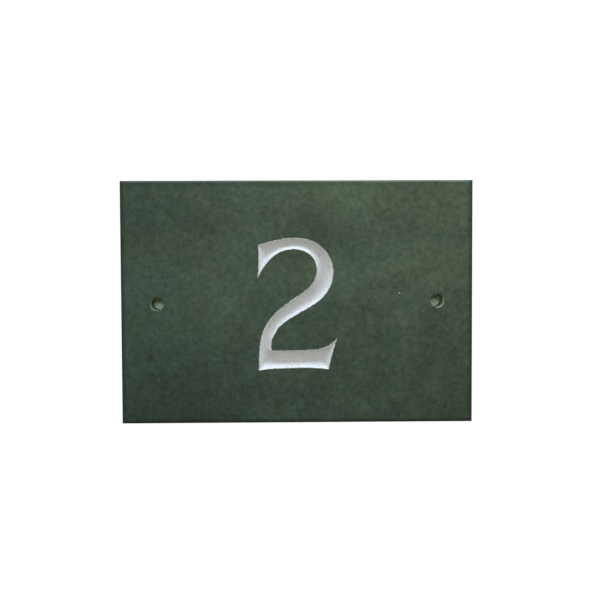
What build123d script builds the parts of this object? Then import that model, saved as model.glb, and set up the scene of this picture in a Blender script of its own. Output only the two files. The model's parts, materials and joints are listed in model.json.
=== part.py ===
"""A house number plaque: a honed slate slab with a V-cut, painted numeral and two screw holes.

Frame: X to the right and Z up as the plaque hangs, Y into the wall. The origin is the middle of
the back face, which lies against the wall. The carved front face looks along -Y.
"""

import os
from math import radians, sin, tan

from build123d import *

# The slab
plaque_width = 145.0
plaque_height = 100.0
plaque_thickness = 10.0
front_arris = 0.7

# The two screw holes, drilled by eye: not quite level, and not quite evenly inset
hole_diameter = 5.5
hole_arris = 0.25
left_hole_inset = 14.85
left_hole_drop = 0.5
right_hole_inset = 14.6
right_hole_drop = -0.4

# The numeral, its V-shaped cut and the coat of paint in it
numeral_height = 54.8
numeral_drop = 0.95
carving_angle = 90.0
crotch_radius = 0.7
paint_thickness = 0.2

back = Plane.XZ
front = back.offset(plaque_thickness)

# The numeral is drawn on a grid of hundredths of its height, with its feet at 0 and its crown at 100
grid = numeral_height / 100
numeral_foot = -numeral_drop - numeral_height / 2


def drawn(*points):
    """Points of the drawing grid, at their place on the front face."""
    return [(x * grid, numeral_foot + z * grid) for x, z in points]


# The five edges of the numeral run clockwise as seen from the front. The first goes from the beak
# over the bowl and down the stem, turns at the crotch, and runs along the foot to its upturned tip.
crotch = crotch_radius / grid
with BuildLine() as outer_edge:
    stem = Spline(
        *drawn((-29.1, 94.9), (-16.9, 98.1), (-3.3, 100), (10.8, 97.9)),
        *drawn((21.4, 90.3), (27.4, 75.1), (21.5, 57.5), (6.1, 45.8)),
        *drawn((-7.8, 37.6), (-14.5, 31.4), (-18.1, 25.4), (-19.5, 15.2 + crotch)),
        tangents=[(1, 0.2), (0, -1)],
    )
    JernArc(stem @ 1, (0, -1), crotch_radius, 90)
    Spline(
        *drawn((-19.5 + crotch, 15.2), (-3, 15.4), (13, 16.1), (22.1, 18.2), (30.4, 24.9)),
        tangents=[(1, 0), (1, 1.2)],
    )
with BuildLine() as foot_end:
    ThreePointArc(*drawn((30.4, 24.9), (26.3, 12), (23.7, 0.6)))
with BuildLine() as foot_base:
    Spline(*drawn((23.7, 0.6), (14.1, 1.7), (-8, 1.7), (-20.1, 1.2), (-29.3, 0)))
with BuildLine() as inner_edge:
    Spline(
        *drawn((-29.3, 0), (-28.8, 11.9), (-25.6, 30.3), (-14, 45.8), (1.8, 57.3), (11.4, 65.6)),
        *drawn((14.8, 75.1), (10.8, 86.2), (-2.6, 91.4), (-16.3, 87), (-25.4, 77.3), (-29.7, 69.6)),
    )
with BuildLine() as beak_end:
    ThreePointArc(*drawn((-29.7, 69.6), (-28.9, 82.1), (-29.1, 94.9)))
numeral_edges = (outer_edge, foot_end, foot_base, inner_edge, beak_end)

# Each edge has a wall that slopes in at half the carving angle, and runs on past the middle of the
# widest stroke. The wall also runs a little way up and out of the slate, so that it cuts it cleanly.
wall_reach = 10 * grid
wall_overrun = crotch_radius / 2
wall_steepness = 1 / tan(radians(carving_angle / 2))
wall_section = (
    (-wall_overrun, -wall_overrun * wall_steepness),
    (wall_reach, wall_reach * wall_steepness),
    (-wall_overrun, wall_reach * wall_steepness),
)


def wall_path(edge):
    """An edge of the numeral on the front face, carried straight on past both of its corners."""
    past = wall_reach / 2
    lead_in = Edge.make_line(edge @ 0 - edge % 0 * past, edge @ 0)
    lead_out = Edge.make_line(edge @ 1, edge @ 1 + edge % 1 * past)
    return front.from_local_coords(Wire([lead_in, *edge.edges(), lead_out]))


with BuildPart() as numeral_cut:
    with BuildSketch(front) as numeral_outline:
        with BuildLine():
            for edge in numeral_edges:
                add(edge.line)
        make_face()
    extrude(amount=wall_overrun)
    extrude(numeral_outline.sketch, amount=-0.9 * wall_reach * wall_steepness)
    for edge in numeral_edges:
        path = wall_path(edge.line)
        inward = (path % 0).cross(front.z_dir)
        with BuildSketch(Plane(path @ 0, x_dir=inward, z_dir=path % 0)) as wall:
            Polygon(*wall_section, align=None)
        sweep(wall.sketch, path, mode=Mode.SUBTRACT)

# The slab with its arris, the holes and the cut
left_hole = (left_hole_inset - plaque_width / 2, -left_hole_drop)
right_hole = (plaque_width / 2 - right_hole_inset, -right_hole_drop)
with BuildPart() as slate_plaque:
    with BuildSketch(back):
        Rectangle(plaque_width, plaque_height)
    extrude(amount=plaque_thickness)
    front_face = slate_plaque.faces().sort_by(Axis.Y)[0]
    chamfer(front_face.edges(), front_arris)
    with Locations(front):
        with Locations(left_hole, right_hole):
            CounterSinkHole(hole_diameter / 2, hole_diameter / 2 + hole_arris, counter_sink_angle=90)
    add(numeral_cut.part, mode=Mode.SUBTRACT)

# The paint lines the cut: the cut itself, less the same cut drawn out of the slate along its axis,
# which leaves an even coat because every wall has the same slope
paint_draw = paint_thickness / sin(radians(carving_angle / 2))
with BuildPart() as numeral_paint:
    add(numeral_cut.part)
    split(bisect_by=front, keep=Keep.BOTTOM)
    add(numeral_cut.part.moved(Location(front.z_dir * paint_draw)), mode=Mode.SUBTRACT)

slate_plaque.part.label = "slate_plaque"
numeral_paint.part.label = "numeral_paint"
os.makedirs("parts", exist_ok=True)
export_step(slate_plaque.part, "parts/slate_plaque.step")
export_step(numeral_paint.part, "parts/numeral_paint.step")
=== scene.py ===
"""A house number plaque of green slate, with a V-cut painted numeral: its finishes, light and camera.

Everything is in the plaque's own frame: X to the right and Z up as it hangs, Y into the wall. Shapes are
in metres, and the patterns of a material are in millimetres.
"""

import json
from math import radians, tan

import bmesh
import bpy
from mathutils import Matrix, Vector, noise


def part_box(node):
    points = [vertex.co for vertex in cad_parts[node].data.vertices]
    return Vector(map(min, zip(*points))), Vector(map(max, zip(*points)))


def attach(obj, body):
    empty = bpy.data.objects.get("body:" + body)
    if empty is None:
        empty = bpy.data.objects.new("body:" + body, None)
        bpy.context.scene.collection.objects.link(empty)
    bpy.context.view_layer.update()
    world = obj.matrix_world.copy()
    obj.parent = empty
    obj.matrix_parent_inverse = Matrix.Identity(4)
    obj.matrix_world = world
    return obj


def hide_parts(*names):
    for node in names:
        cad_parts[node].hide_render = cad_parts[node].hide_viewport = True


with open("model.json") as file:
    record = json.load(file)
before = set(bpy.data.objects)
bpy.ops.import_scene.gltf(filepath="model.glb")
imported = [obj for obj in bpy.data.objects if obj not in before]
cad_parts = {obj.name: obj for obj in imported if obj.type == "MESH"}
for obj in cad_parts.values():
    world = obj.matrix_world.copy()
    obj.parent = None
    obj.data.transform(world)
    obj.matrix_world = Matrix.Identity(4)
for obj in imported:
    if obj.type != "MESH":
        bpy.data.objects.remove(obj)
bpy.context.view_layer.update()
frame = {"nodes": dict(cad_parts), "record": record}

# The slate
# The plaque itself is one slab of green slate, sawn to size, with the front honed by hand and its
# sharp edge rubbed off. The screw holes are drilled right through, and a painted highlight pales the
# lower outer side of each rim.
mm = 0.001
slate_low, slate_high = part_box("slate_plaque")
bluish_slate = (0.0585, 0.090, 0.0625, 1)
olive_slate = (0.0675, 0.090, 0.0525, 1)
dark_grain = (0.48, 0.59, 0.46, 1)
pale_grain = (1.52, 1.41, 1.54, 1)
pale_speck = (0.20, 0.25, 0.20, 1)
white_fleck = (0.45, 0.50, 0.45, 1)
edge_stain = (0.84, 0.97, 0.96, 1)
arris_highlight_tint = (1.42, 1.22, 1.40, 1)
left_rim_highlight = (0.17, 0.19, 0.15, 1)
left_bore_highlight = (0.39, 0.47, 0.35, 1)
right_rim_highlight = (0.46, 0.49, 0.40, 1)
right_bore_highlight = (0.48, 0.58, 0.43, 1)
drill_dust = (0.29, 0.39, 0.26, 1)


def new_material(name):
    """An empty node material."""
    material = bpy.data.materials.new(name)
    material.use_nodes = True
    material.node_tree.nodes.clear()
    return material


def add_node(material, kind, sockets, **settings):
    """One node of a material. Each of its sockets is given a plain value or another node's output."""
    node = material.node_tree.nodes.new("ShaderNode" + kind)
    for name, value in settings.items():
        setattr(node, name, value)
    for name, value in sockets.items():
        if isinstance(value, bpy.types.NodeSocket):
            material.node_tree.links.new(value, node.inputs[name])
        else:
            node.inputs[name].default_value = value
    return node


def scaled(material, spot, scale):
    """Each point's place, stretched along X, Y and Z."""
    return add_node(material, "Mapping", {"Vector": spot, "Scale": scale}).outputs["Vector"]


def moved(material, kind, place, by=(0, 0, 0)):
    """One step of arithmetic on a place, mostly with another, which gives a place."""
    return add_node(material, "VectorMath", {0: place, 1: by}, operation=kind).outputs["Vector"]


def measured(material, kind, place, other=(0, 0, 0)):
    """The length of a place, or its distance or dot product with another."""
    return add_node(material, "VectorMath", {0: place, 1: other}, operation=kind).outputs["Value"]


def split(material, place):
    """The X, Y and Z of a place."""
    return add_node(material, "SeparateXYZ", {"Vector": place}).outputs


def noise_field(material, place, size, detail, rough):
    """Soft noise from 0 to 1 whose features are about the given size, in millimetres."""
    sockets = {"Vector": place, "Scale": 1 / size, "Detail": detail, "Roughness": rough}
    return add_node(material, "TexNoise", sockets).outputs["Fac"]


def between(material, value, low, high, out_low=0.0, out_high=1.0, ease="LINEAR"):
    """A value stretched so that low becomes out_low and high becomes out_high, and held there beyond."""
    sockets = {"Value": value, "From Min": low, "From Max": high, "To Min": out_low, "To Max": out_high}
    return add_node(material, "MapRange", sockets, interpolation_type=ease).outputs["Result"]


def sums(material, kind, first, second):
    """One step of arithmetic on two values."""
    return add_node(material, "Math", {0: first, 1: second}, operation=kind).outputs["Value"]


def blend(material, share, first, second):
    """The first colour, with a share of the second mixed in."""
    sockets = {"Fac": share, "Color1": first, "Color2": second}
    return add_node(material, "MixRGB", sockets, blend_type="MIX").outputs["Color"]


def tint(material, colour, shade):
    """A colour times a shade, which is another colour or a plain value."""
    sockets = {"Fac": 1.0, "Color1": colour, "Color2": shade}
    return add_node(material, "MixRGB", sockets, blend_type="MULTIPLY").outputs["Color"]


slate = new_material("honed_slate")
slate_spot = add_node(slate, "TexCoord", {}).outputs["Object"]
in_millimetres = (1 / mm, 1 / mm, 1 / mm)
slate_place = scaled(slate, slate_spot, in_millimetres)
slate_parts = split(slate, slate_place)
# The stone's layers lie parallel to its face, so its patterns are thin from front to back
in_layers = (1 / mm, 5 / mm, 1 / mm)
slate_layers = scaled(slate, slate_spot, in_layers)

# The colour is darker at the foot than at the head, and has cloudy patches. Each cloud is the place of
# its middle, half its width and height in millimetres, and how much paler or darker it is.
clouds = (
    (-60, 40, 60, 40, -0.35),
    (30, 15, 60, 20, 0.35),
    (-50, -45, 40, 40, -0.25),
    (23, 43, 20, 25, 0.35),
    (15, 25, 35, 20, -0.35),
    (-30, 0, 20, 35, 0.15),
    (43, -7, 15, 17, 0.2),
)
foot_tone = 0.82
head_tone = 1.23
wander_size = 16
wander_reach = 24
mottle_size = 9
mottle_lift = 0.22
soft_noise = (0.25, 0.75)
wander_sockets = {"Vector": slate_layers, "Scale": 1 / wander_size, "Detail": 3.0}
wander = add_node(slate, "TexNoise", wander_sockets).outputs["Color"]
wander = moved(slate, "SUBTRACT", wander, (0.5, 0.5, 0.5))
wander = moved(slate, "MULTIPLY", wander, (wander_reach, wander_reach, wander_reach))
strayed = moved(slate, "ADD", slate_place, wander)
tone = between(slate, slate_parts["Z"], slate_low.z / mm, slate_high.z / mm, foot_tone, head_tone)
for x, z, half_width, half_height, lift in clouds:
    away = moved(slate, "SUBTRACT", strayed, (x, 0, z))
    away = moved(slate, "MULTIPLY", away, (1 / half_width, 0, 1 / half_height))
    away = measured(slate, "LENGTH", away)
    tone = sums(slate, "ADD", tone, between(slate, away, 0, 1, lift, 0, "SMOOTHSTEP"))
mottle = noise_field(slate, slate_layers, mottle_size, 3, 0.75)
tone = sums(slate, "ADD", tone, between(slate, mottle, *soft_noise, -mottle_lift, mottle_lift))

# Its colour goes from bluish green at the lower left to olive at the upper right
hue_size = 16
hue_half_width = 72
hue_lean = 0.28
hue = noise_field(slate, slate_layers, hue_size, 5, 0.7)
hue = between(slate, hue, *soft_noise, 0.1, 0.9)
hue_across = between(slate, slate_parts["X"], -hue_half_width, hue_half_width, -hue_lean, hue_lean)
hue_up = between(slate, slate_parts["Z"], slate_low.z / mm, slate_high.z / mm, -hue_lean, hue_lean)
hue = sums(slate, "ADD", hue, sums(slate, "ADD", hue_across, hue_up))
cloudy = tint(slate, blend(slate, hue, bluish_slate, olive_slate), tone)

# Fine grain in the honed face, a few pale mineral specks that are fewer low down, and one white fleck
# near the right hole. A speck's core and radius are shares of the spacing.
grain_size = 2.4
speck_spacing = 5
speck_core = 0.04
speck_radius = 0.09
speck_odds = 0.3
speck_strength = 0.8
speck_foot = -30
speck_head = 40
foot_share = 0.2
fleck_spot = (42.2, slate_low.y / mm, 3.6)
fleck_core = 0.2
fleck_radius = 0.45
grain = noise_field(slate, slate_layers, grain_size, 4, 0.8)
grain_shade = blend(slate, between(slate, grain, *soft_noise), dark_grain, pale_grain)
grained = tint(slate, cloudy, grain_shade)
speck_cells = add_node(slate, "TexVoronoi", {"Vector": slate_place, "Scale": 1 / speck_spacing}).outputs
speck_near = between(slate, speck_cells["Distance"], speck_core, speck_radius, 1, 0)
speck_pick = add_node(slate, "SeparateColor", {"Color": speck_cells["Color"]}).outputs["Red"]
speck_pick = between(slate, speck_pick, speck_odds, 1, 0, speck_strength)
speck_fade = between(slate, slate_parts["Z"], speck_foot, speck_head, foot_share, 1)
speck_share = sums(slate, "MULTIPLY", sums(slate, "MULTIPLY", speck_near, speck_pick), speck_fade)
specked = blend(slate, speck_share, grained, pale_speck)
fleck_gap = measured(slate, "DISTANCE", slate_place, fleck_spot)
fleck = between(slate, fleck_gap, fleck_core, fleck_radius, 1, 0)
specked = blend(slate, fleck, specked, white_fleck)

# Painted shade darkens the edges of the face, most of all along the foot and the sides, and the colour is
# darker in a band under the head, more so on the left. The head has a faint bluish stain that runs down
# the left side, and a painted highlight makes its arris pale.
border_width = 2.1
side_shade = 0.25
foot_start = 0.2
foot_shade = 0.22
head_start = 0.7
head_width = 3.2
head_left = -20
head_right = 40
left_head_shade = 0.70
right_head_shade = 0.93
stain_core = 1.2
stain_width = 3.2
stain_left = -30
stain_right = 70
right_stain_share = 0.4
arris_core = 0.8
arris_width = 1.3
left_gap = sums(slate, "SUBTRACT", slate_parts["X"], slate_low.x / mm)
right_gap = sums(slate, "SUBTRACT", slate_high.x / mm, slate_parts["X"])
side_gap = sums(slate, "MINIMUM", left_gap, right_gap)
foot_gap = sums(slate, "SUBTRACT", slate_parts["Z"], slate_low.z / mm)
head_gap = sums(slate, "SUBTRACT", slate_high.z / mm, slate_parts["Z"])
# Painted shade along the sides and the foot, and a darker band under the head
side_border = between(slate, side_gap, 0, border_width, side_shade, 1)
foot_border = between(slate, foot_gap, foot_start, border_width, foot_shade, 1)
head_shade = between(slate, slate_parts["X"], head_left, head_right, left_head_shade, right_head_shade)
head_border = between(slate, head_gap, head_start, head_width, head_shade, 1)
painted_edge_shade = sums(slate, "MULTIPLY", sums(slate, "MINIMUM", side_border, foot_border), head_border)
bordered = tint(slate, specked, painted_edge_shade)
stain = between(slate, sums(slate, "MINIMUM", left_gap, head_gap), stain_core, stain_width, 1, 0)
stain_fade = between(slate, slate_parts["X"], stain_left, stain_right, 1, right_stain_share)
stain = sums(slate, "MULTIPLY", stain, stain_fade)
bordered = blend(slate, stain, bordered, tint(slate, bordered, edge_stain))
# A painted highlight makes the arris at the head paler
arris = between(slate, head_gap, arris_core, arris_width, 1, 0)
bordered = blend(slate, arris, bordered, tint(slate, bordered, arris_highlight_tint))

# The sides and the back are left as the saw cut them, with faint straight marks along their length
saw_mark_width = 1.3
along_the_cut = (0.04 / mm, 1 / mm, 1 / mm)
even_noise = (0.3, 0.7)
dark_mark = 0.82
pale_mark = 1.22
sawn_start = 0.7
sawn_past = 1.6
saw_marks = noise_field(slate, scaled(slate, slate_spot, along_the_cut), saw_mark_width, 2, 0.6)
sawn_slate = tint(slate, specked, between(slate, saw_marks, *even_noise, dark_mark, pale_mark))
front_gap = sums(slate, "SUBTRACT", slate_parts["Y"], slate_low.y / mm)
sawn = between(slate, front_gap, sawn_start, sawn_past)
bordered = blend(slate, sawn, bordered, sawn_slate)

# A painted highlight pales the outer, lower side of each rim and the bore just behind it, where the
# light strikes. Pale powder from the drill lines the bores, less of it at the top of each bore, and that
# darker top is painted shade.
rubbed_rim = 0.25 * mm
rim_highlight_core = 0.3 * rubbed_rim
rim_highlight_width = 0.8 * rubbed_rim
rim_highlight_side = (0.3, 0.9)
bore_skin = 0.01 * mm
bore_edge = 0.06 * mm
dust_side = (-0.3, 0.8)
upper_dust = 0.3
bore_highlight_start = 3
bore_highlight_depth = 8
bore_highlight_side = (0.2, 0.8)
hole_names = ("left_screw_hole", "right_screw_hole")
lit_sides = ((-0.9, 0, -0.44), (0.77, 0, -0.64))
hole_highlights = ((left_rim_highlight, left_bore_highlight), (right_rim_highlight, right_bore_highlight))
mounts = {mount["name"]: mount for mount in frame["record"]["mounts"]}
holes = [mounts[name] for name in hole_names]
drilled = bordered
# Painted highlights on the lit side of each rim and of the bore behind it
for hole, lit_side, (rim_highlight_colour, bore_highlight_colour) in zip(holes, lit_sides, hole_highlights):
    x, _, z = hole["pos_m"]
    bore = hole["dims"]["r_mm"] * mm
    off_axis = moved(slate, "MULTIPLY", moved(slate, "SUBTRACT", slate_spot, (x, 0, z)), (1, 0, 1))
    gap = measured(slate, "LENGTH", off_axis)
    outwards = moved(slate, "NORMALIZE", off_axis)
    toward_light = measured(slate, "DOT_PRODUCT", outwards, lit_side)
    rim_highlight = between(slate, gap, bore + rim_highlight_core, bore + rim_highlight_width, 1, 0)
    rim_highlight = sums(slate, "MULTIPLY", rim_highlight, between(slate, toward_light, *rim_highlight_side))
    drilled = blend(slate, rim_highlight, drilled, rim_highlight_colour)
    # Pale powder from the drill, thinned at the top of each bore as painted shade
    in_bore = between(slate, gap, bore + bore_skin, bore + bore_edge, 1, 0)
    above = split(slate, outwards)["Z"]
    dust_and_shade = sums(slate, "MULTIPLY", in_bore, between(slate, above, *dust_side, 1, upper_dust))
    drilled = blend(slate, dust_and_shade, drilled, drill_dust)
    bore_highlight = sums(slate, "MULTIPLY", in_bore, between(slate, front_gap, bore_highlight_start, bore_highlight_depth, 1, 0))
    bore_highlight = sums(slate, "MULTIPLY", bore_highlight, between(slate, toward_light, *bore_highlight_side))
    drilled = blend(slate, bore_highlight, drilled, bore_highlight_colour)

smooth_slate = 0.54
rough_slate = 0.66
slate_height = sums(slate, "ADD", grain, sums(slate, "MULTIPLY", sawn, saw_marks))
slate_bump = add_node(slate, "Bump", {"Height": slate_height, "Strength": 0.12, "Distance": 0.15 * mm})
slate_shader = add_node(slate, "BsdfPrincipled", {
    "Base Color": drilled,
    "Roughness": between(slate, mottle, 0.2, 0.8, smooth_slate, rough_slate),
    "Specular IOR Level": 0.12,
    "Normal": slate_bump.outputs["Normal"],
})
add_node(slate, "OutputMaterial", {"Surface": slate_shader.outputs["BSDF"]})

slate_piece = frame["nodes"]["slate_plaque"]
slate_piece.data.materials.clear()
slate_piece.data.materials.append(slate)

# The paint
# The numeral is cut to a V by a carving tool and brushed with white enamel, which is rubbed off flush
# with the face. The wet paint settles in the bottom of the V and rounds its corners.
merge_gap = 0.001 * mm
snap_gap = 0.0005 * mm
lattice = 0.35 * mm
settling_passes = 3
brush_wave = 0.012 * mm
brush_wavelength = 1.6 * mm
coat_depth = 0.17 * mm
white_paint = (0.81, 0.81, 0.80, 1)
shaded_paint = (0.59, 0.61, 0.55, 1)
worn_edge = (0.10, 0.12, 0.09, 1)

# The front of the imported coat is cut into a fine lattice, so that it can settle and take the brush marks
paint_low, paint_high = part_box("numeral_paint")
coat = bmesh.new()
coat.from_mesh(frame["nodes"]["numeral_paint"].data)
bmesh.ops.remove_doubles(coat, verts=coat.verts, dist=merge_gap)
hidden_side = [face for face in coat.faces if face.normal.y > 0]
bmesh.ops.delete(coat, geom=hidden_side, context="FACES")
for axis in (Vector((1, 0, 0)), Vector((0, 0, 1))):
    start = paint_low.dot(axis)
    slices = int((paint_high.dot(axis) - start) / lattice)
    for i in range(1, slices + 1):
        whole = coat.verts[:] + coat.edges[:] + coat.faces[:]
        cut = axis * (start + i * lattice)
        bmesh.ops.bisect_plane(coat, geom=whole, dist=snap_gap, plane_co=cut, plane_no=axis)
bmesh.ops.triangulate(coat, faces=coat.faces)
wet = [vert for vert in coat.verts if not vert.is_boundary]
for i in range(settling_passes):
    bmesh.ops.smooth_vert(coat, verts=wet, factor=0.5, use_axis_y=True)
for vert in wet:
    wave = brush_wave * noise.noise(vert.co / brush_wavelength)
    vert.co.y = max(vert.co.y + wave, slate_low.y)

# Drawn straight back, it is an even closed coat, because every wall of the cut has the same slope
underside = bmesh.ops.extrude_face_region(coat, geom=coat.faces[:])["geom"]
underside = [part for part in underside if isinstance(part, bmesh.types.BMVert)]
bmesh.ops.translate(coat, verts=underside, vec=(0, coat_depth, 0))
bmesh.ops.recalc_face_normals(coat, faces=coat.faces)
for face in coat.faces:
    face.smooth = True

paint = new_material("white_enamel")
paint_seen = add_node(paint, "TexCoord", {}).outputs
paint_place = scaled(paint, paint_seen["Object"], in_millimetres)
paint_depth = sums(paint, "SUBTRACT", split(paint, paint_place)["Y"], slate_low.y / mm)

# Painted shade makes the walls that face down darker and warmer near the face, under the upper edges
shade_depth = 3.0
overhang = -0.6
facing_down = between(paint, split(paint, paint_seen["Normal"])["Z"], overhang, 0, 1, 0)
under_edge_shade = sums(paint, "MULTIPLY", facing_down, between(paint, paint_depth, 0, shade_depth, 1, 0))
paint_colour = blend(paint, under_edge_shade, white_paint, shaded_paint)

# The brush left thin and thick patches and a fine grain
patch_size = 2.5
thin_patch = 0.97
thick_patch = 1.03
brush_grain_size = 0.6
brush_dark = 0.86
brush_pale = 1.12
patches = noise_field(paint, paint_place, patch_size, 4, 0.6)
brush_grain = noise_field(paint, paint_place, brush_grain_size, 2, 0.6)
patch_shade = between(paint, patches, *even_noise, thin_patch, thick_patch)
brush_shade = between(paint, brush_grain, *even_noise, brush_dark, brush_pale)
paint_colour = tint(paint, tint(paint, paint_colour, patch_shade), brush_shade)

# Rubbing the face flush wore the edge of the paint a little ragged
least_wear = -0.1
most_wear = 0.22
wear = between(paint, brush_grain, 0.40, 0.80, least_wear, most_wear)
worn = between(paint, sums(paint, "SUBTRACT", wear, paint_depth), -0.03, 0.05)
paint_colour = blend(paint, worn, paint_colour, worn_edge)

paint_bump = add_node(paint, "Bump", {"Height": brush_grain, "Strength": 0.1, "Distance": 0.1 * mm})
paint_shader = add_node(paint, "BsdfPrincipled", {
    "Base Color": paint_colour,
    "Roughness": 0.5,
    "Specular IOR Level": 0.4,
    "Normal": paint_bump.outputs["Normal"],
})
add_node(paint, "OutputMaterial", {"Surface": paint_shader.outputs["BSDF"]})


def add_piece(name, shape, material):
    """An object at the origin, made of a finished bmesh and a material."""
    mesh = bpy.data.meshes.new(name)
    shape.to_mesh(mesh)
    shape.free()
    mesh.materials.append(material)
    piece = bpy.data.objects.new(name, mesh)
    bpy.context.scene.collection.objects.link(piece)
    return piece


coat_piece = add_piece("numeral_coat", coat, paint)
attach(coat_piece, "root")
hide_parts("numeral_paint")

# The wall and the floor
# A spot of pale wall lies behind each screw hole and shows through it. From behind it is clear. The
# floor is a pale disc well below the plaque, and the room around it is white.
wall_gap = 0.3 * mm
wall_radius = 2.95 * mm
wall_colour = (0.71, 0.78, 0.50, 1)
floor_drop = 0.25
floor_radius = 0.40
floor_core = 0.5 * floor_radius
floor_rim = 0.98 * floor_radius
floor_colour = (0.8, 0.8, 0.8, 1)
floor_lift = 0.45
room_light = (0.285, 0.24, 0.155, 1)
room_white = (1, 1, 1, 1)

wall = bmesh.new()
for hole in holes:
    x, _, z = hole["pos_m"]
    spot = Matrix.Translation((x, slate_high.y + wall_gap, z)) @ Matrix.Rotation(radians(90), 4, "X")
    bmesh.ops.create_circle(wall, cap_ends=True, segments=32, radius=wall_radius, matrix=spot)
pale_wall = new_material("pale_wall")
wall_behind = add_node(pale_wall, "NewGeometry", {}).outputs["Backfacing"]
wall_ray = add_node(pale_wall, "LightPath", {}).outputs["Is Camera Ray"]
wall_shader = add_node(pale_wall, "MixShader", {
    0: sums(pale_wall, "MULTIPLY", wall_behind, wall_ray),
    1: add_node(pale_wall, "BsdfDiffuse", {"Color": wall_colour}).outputs["BSDF"],
    2: add_node(pale_wall, "BsdfTransparent", {}).outputs["BSDF"],
})
add_node(pale_wall, "OutputMaterial", {"Surface": wall_shader.outputs["Shader"]})
wall_piece = add_piece("wall_spots", wall, pale_wall)

# The floor fades out towards its rim, and the camera sees it a little brighter than it is lit
floor = bmesh.new()
bmesh.ops.create_circle(floor, cap_ends=True, segments=96, radius=floor_radius)
bmesh.ops.translate(floor, verts=floor.verts, vec=(0, 0, slate_low.z - floor_drop))
pale_floor = new_material("pale_floor")
floor_spot = add_node(pale_floor, "TexCoord", {}).outputs["Object"]
floor_reach = measured(pale_floor, "LENGTH", moved(pale_floor, "MULTIPLY", floor_spot, (1, 1, 0)))
floor_matt = add_node(pale_floor, "BsdfDiffuse", {"Color": floor_colour}).outputs["BSDF"]
floor_glow = add_node(pale_floor, "Emission", {"Strength": floor_lift}).outputs["Emission"]
floor_seen = add_node(pale_floor, "MixShader", {
    0: add_node(pale_floor, "LightPath", {}).outputs["Is Camera Ray"],
    1: floor_matt,
    2: add_node(pale_floor, "AddShader", {0: floor_matt, 1: floor_glow}).outputs["Shader"],
})
floor_shader = add_node(pale_floor, "MixShader", {
    0: between(pale_floor, floor_reach, floor_core, floor_rim),
    1: floor_seen.outputs["Shader"],
    2: add_node(pale_floor, "BsdfTransparent", {}).outputs["BSDF"],
})
add_node(pale_floor, "OutputMaterial", {"Surface": floor_shader.outputs["Shader"]})
floor_piece = add_piece("floor", floor, pale_floor)

room = bpy.data.worlds.new("white_room")
room.use_nodes = True
room.node_tree.nodes.clear()
room_ray = add_node(room, "LightPath", {}).outputs
seen = sums(room, "MAXIMUM", room_ray["Is Camera Ray"], room_ray["Is Glossy Ray"])
seen = sums(room, "MAXIMUM", seen, room_ray["Is Transmission Ray"])
room_glow = add_node(room, "Background", {"Color": blend(room, seen, room_light, room_white)})
add_node(room, "OutputWorld", {"Surface": room_glow.outputs["Background"]})
bpy.context.scene.world = room
bpy.context.scene.view_settings.view_transform = "Standard"


# The light
# A cool soft box hangs above the plaque and rakes down its face, which shows the V-cut. A small lamp
# above and behind the camera fills in and shines into the holes, and a soft one lights the back.
def add_lamp(name, place, size, watts, colour):
    """A rectangular soft box that looks at the middle of the plaque's back."""
    lamp = bpy.data.lights.new(name, "AREA")
    lamp.shape = "RECTANGLE"
    lamp.size, lamp.size_y = size
    lamp.energy = watts
    lamp.color = colour
    lamp_object = bpy.data.objects.new(name, lamp)
    lamp_object.location = place
    lamp_object.rotation_euler = (-Vector(place)).to_track_quat("-Z", "Y").to_euler()
    bpy.context.scene.collection.objects.link(lamp_object)


cool_white = (0.83, 1.0, 1.20)
cold_white = (0.86, 1.0, 1.28)
plain_white = (1.0, 1.0, 1.0)
add_lamp("raking_light", place=(-0.006, -0.093, 0.348), size=(0.65, 0.166), watts=1.76, colour=cool_white)
add_lamp("filling_light", place=(0, -0.865, 0.235), size=(0.15, 0.15), watts=1.75, colour=cold_white)
add_lamp("back_light", place=(0.25, 0.80, 0.45), size=(0.5, 0.5), watts=4.0, colour=plain_white)

# The camera
# It stands in front of the plaque, a little to the left and a little above the middle.
camera_place = Vector((-3.64, -349.5, 14.03)) * mm
camera_yaw = radians(-0.813)
camera_pitch = radians(87.781)
camera_roll = radians(-0.248)
field_of_view = radians(40)
nearest_seen = 10 * mm

camera_lens = bpy.data.cameras.new("camera")
camera_lens.lens = camera_lens.sensor_width / 2 / tan(field_of_view / 2)
camera_lens.clip_start = nearest_seen
camera = bpy.data.objects.new("camera", camera_lens)
turn = Matrix.Rotation(camera_yaw, 4, "Z") @ Matrix.Rotation(camera_pitch, 4, "X")
camera.matrix_world = Matrix.Translation(camera_place) @ turn @ Matrix.Rotation(camera_roll, 4, "Z")
bpy.context.scene.collection.objects.link(camera)
bpy.context.scene.camera = camera
